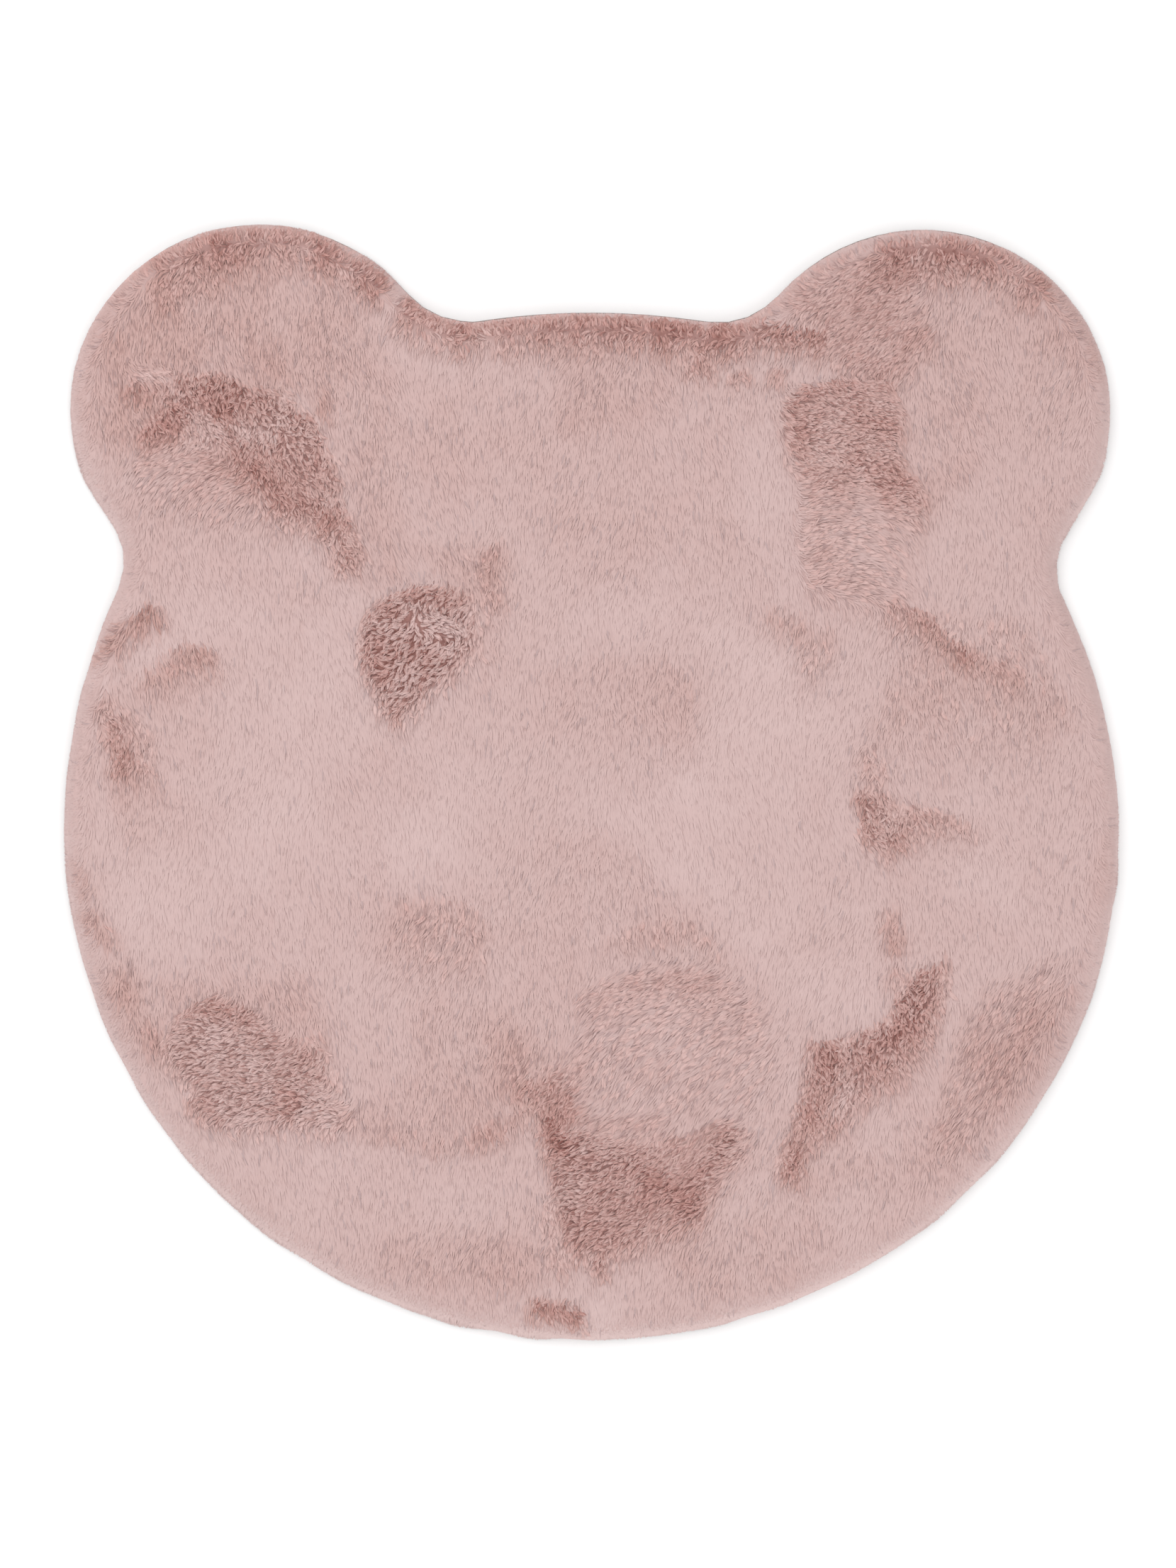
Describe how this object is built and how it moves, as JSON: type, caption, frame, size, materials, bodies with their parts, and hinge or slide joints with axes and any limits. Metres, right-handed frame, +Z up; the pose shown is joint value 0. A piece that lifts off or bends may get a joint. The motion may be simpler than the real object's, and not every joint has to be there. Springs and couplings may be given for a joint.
{
  "type": "kids rug",
  "caption": "Flat children's rug of deep faux fur on a thin backing cloth, cut to the outline of a round-eared animal's head.",
  "frame": {"origin": "on the floor, under the middle of the rug's outline box", "axes": "+Z up out of the fur, +Y towards the ears, +X to the right seen from above"},
  "size_m": [0.851, 0.9, 0.025],
  "materials": {
    "faux_fur": "matt, soft",
    "backing_cloth": "matt"
  },
  "bodies": {
    "root": {"pile": "faux_fur", "backing": "backing_cloth"}
  },
  "joints": []
}
